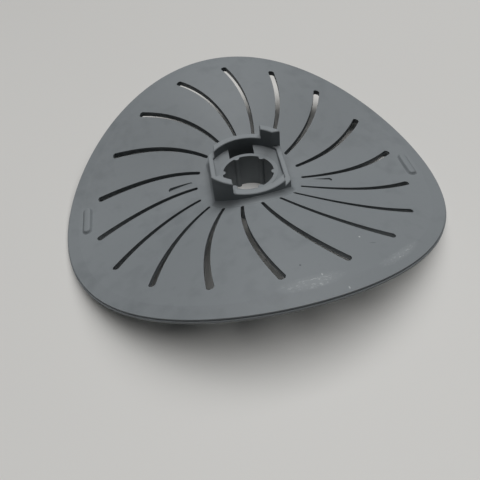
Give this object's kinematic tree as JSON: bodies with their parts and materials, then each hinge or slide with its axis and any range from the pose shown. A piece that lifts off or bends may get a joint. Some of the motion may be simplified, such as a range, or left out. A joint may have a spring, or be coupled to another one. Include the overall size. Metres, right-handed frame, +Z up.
{
  "type": "blender blade guard",
  "caption": "Round saddle-shaped plastic guard for a blender's blades, with a pinwheel of slots and a raised bayonet hub around a ridged socket.",
  "frame": {"origin": "on the axis of the hub, at the surface that the guard stands on", "axes": "+Z up along the hub's axis, X towards the two low sides of the saddle, Y towards its two raised sides"},
  "size_m": [0.1322, 0.13, 0.0225],
  "materials": {
    "grey_plastic": "matte moulded, finely textured"
  },
  "bodies": {
    "root": {"blade_guard": "grey_plastic"}
  },
  "joints": []
}
